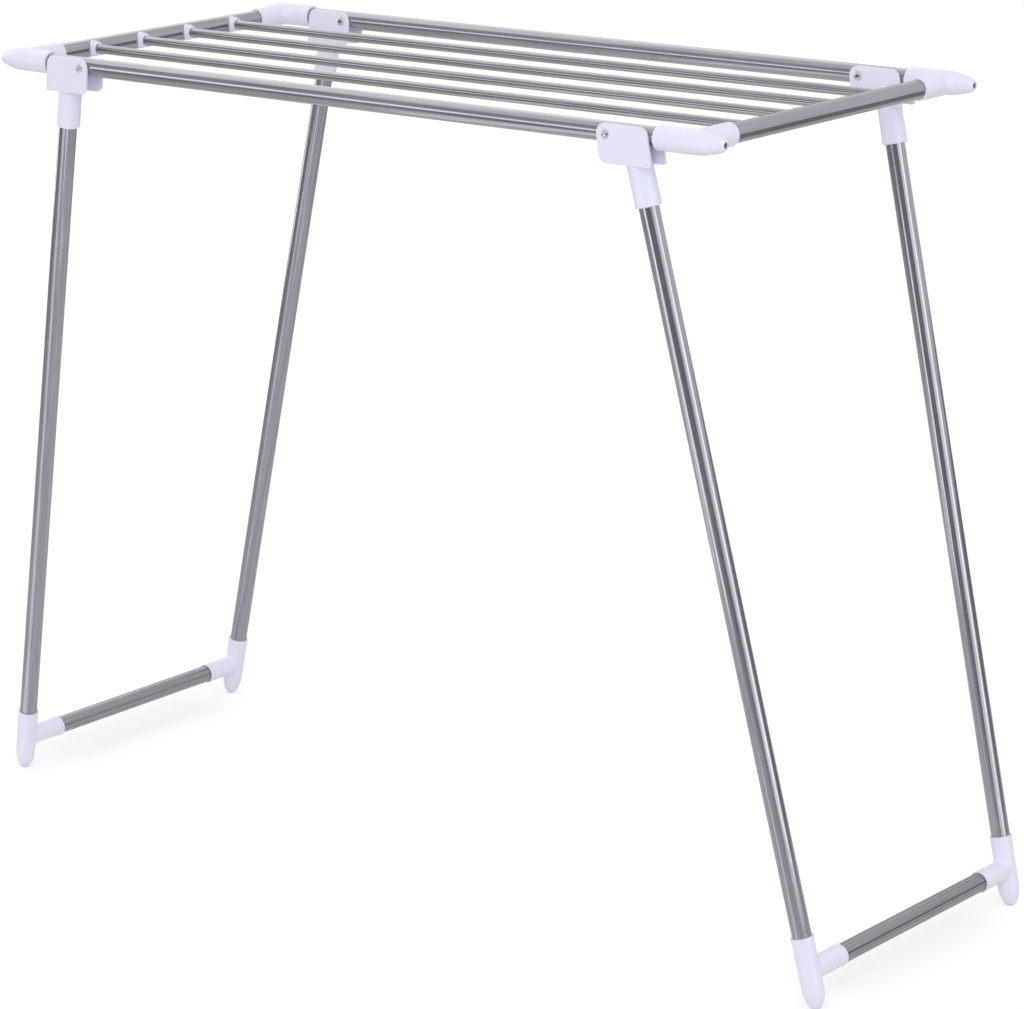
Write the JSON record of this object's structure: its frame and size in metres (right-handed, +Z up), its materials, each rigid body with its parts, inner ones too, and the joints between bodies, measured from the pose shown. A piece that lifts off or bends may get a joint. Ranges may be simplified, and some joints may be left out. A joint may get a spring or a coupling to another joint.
{
  "type": "clothes drying rack",
  "caption": "Folding clothes drying rack: a flat tube frame with rods between its ends, on splayed leg frames that hinge at the rails and fold inwards underneath.",
  "frame": {"origin": "on the floor, under the middle of the top frame", "axes": "+X along the rails to the right end, +Y from the front rail to the back rail, +Z up"},
  "size_m": [1.1228, 0.42, 0.8268],
  "materials": {
    "tube_steel": "satin polished stainless tube",
    "rod_steel": "satin polished stainless rod",
    "fluted_steel": "satin polished stainless, fluted along its length",
    "rivet_steel": "bright formed steel",
    "screw_steel": "dull zinc",
    "white_plastic": "moulded, semi-gloss, cool white",
    "collar_plastic": "moulded, semi-gloss, cool white"
  },
  "bodies": {
    "top_frame": {"front_rail": "tube_steel", "back_rail": "tube_steel", "left_end_tube": "tube_steel", "right_end_tube": "tube_steel", "corner_elbow_front_left": "white_plastic", "corner_elbow_front_right": "white_plastic", "corner_elbow_back_left": "white_plastic", "corner_elbow_back_right": "white_plastic", "drying_rod_1": "rod_steel", "drying_rod_2": "rod_steel", "drying_rod_3": "rod_steel", "drying_rod_4": "rod_steel", "rod_collar_left_1": "collar_plastic", "rod_collar_left_2": "collar_plastic", "rod_collar_left_3": "collar_plastic", "rod_collar_left_4": "collar_plastic", "rod_collar_right_1": "collar_plastic", "rod_collar_right_2": "collar_plastic", "rod_collar_right_3": "collar_plastic", "rod_collar_right_4": "collar_plastic", "corner_screws": "screw_steel", "hinge_rivet_front_left": "rivet_steel", "hinge_rivet_front_right": "rivet_steel", "hinge_rivet_back_left": "rivet_steel", "hinge_rivet_back_right": "rivet_steel"},
    "left_leg_frame": {"hinge_bracket_front_left": "white_plastic", "leg_front_left": "tube_steel", "foot_front_left": "white_plastic", "hinge_bracket_back_left": "white_plastic", "leg_back_left": "tube_steel", "foot_back_left": "white_plastic", "crossbar_left": "fluted_steel"},
    "right_leg_frame": {"hinge_bracket_front_right": "white_plastic", "leg_front_right": "tube_steel", "foot_front_right": "white_plastic", "hinge_bracket_back_right": "white_plastic", "leg_back_right": "tube_steel", "foot_back_right": "white_plastic", "crossbar_right": "fluted_steel"}
  },
  "joints": [
    {"name": "left_leg_fold", "type": "hinge", "parent": "top_frame", "child": "left_leg_frame", "pos_m": [-0.35, 0, 0.815], "axis": [0, -1, 0], "range_deg": [0, 102.5]},
    {"name": "right_leg_fold", "type": "hinge", "parent": "top_frame", "child": "right_leg_frame", "pos_m": [0.35, 0, 0.815], "axis": [0, 1, 0], "range_deg": [0, 95]}
  ]
}
